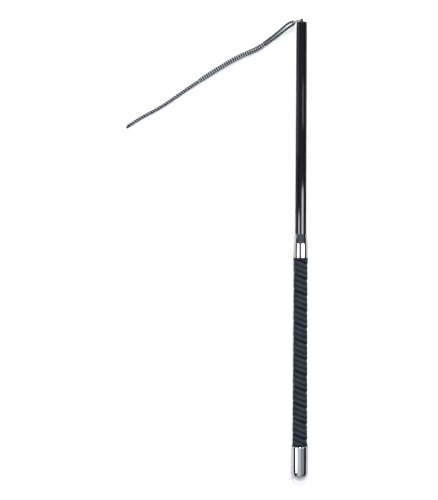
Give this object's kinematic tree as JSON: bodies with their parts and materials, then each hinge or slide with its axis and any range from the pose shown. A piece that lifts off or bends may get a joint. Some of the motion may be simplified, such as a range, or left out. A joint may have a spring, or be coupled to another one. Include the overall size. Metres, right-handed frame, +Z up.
{
  "type": "telescopic lunge whip",
  "caption": "Telescopic horse lunge whip, collapsed: tapered tube, spiral-wrapped grip, chrome ferrule and domed butt cap, with a braided lash looped to the tip.",
  "frame": {"origin": "on the surface that the whip lies on, under the middle of the collapsed whip's length", "axes": "+Y along the whip from butt to tip, +Z up, the lash lies towards -X"},
  "size_m": [0.2704, 0.67, 0.0253],
  "materials": {
    "tube_gloss": "gloss black lacquer on a glass-fibre tube",
    "fibre_rod": "semi-gloss dark glass fibre",
    "black_plastic": "black moulded plastic",
    "chrome": "polished chrome plate",
    "grip_band": "spiral wrapped soft grip band, dark charcoal",
    "binding": "black binding tape",
    "foam": "soft foam sleeve",
    "inner_plastic": "grey moulded plastic",
    "pad_rubber": "rubber pad",
    "keeper_cord": "light grey twisted nylon cord",
    "thread": "black binding thread",
    "lash_braid": "braided black and light grey nylon strands"
  },
  "bodies": {
    "handle": {"outer_tube": "tube_gloss", "mouth_ring": "black_plastic", "ferrule": "chrome", "ferrule_bush": "inner_plastic", "grip_top_ring": "binding", "grip_core": "foam", "grip_band": "grip_band", "grip_end_ring": "binding", "butt_cap": "chrome", "cap_bush": "inner_plastic", "butt_plug": "inner_plastic", "stop_pad": "pad_rubber"},
    "middle_section": {"middle_tube": "tube_gloss", "middle_ring": "black_plastic"},
    "tip_section": {"tip_rod": "fibre_rod", "keeper_binding": "thread", "tip_cap": "black_plastic", "keeper_loop": "keeper_cord", "lash_eye": "lash_braid", "lash": "lash_braid", "lash_end": "lash_braid"}
  },
  "joints": [
    {"name": "middle_slide", "type": "slide", "parent": "handle", "child": "middle_section", "axis": [0, 1, 0], "range_m": [0, 0.57]},
    {"name": "tip_slide", "type": "slide", "parent": "middle_section", "child": "tip_section", "axis": [0, 1, 0], "range_m": [0, 0.56]}
  ]
}
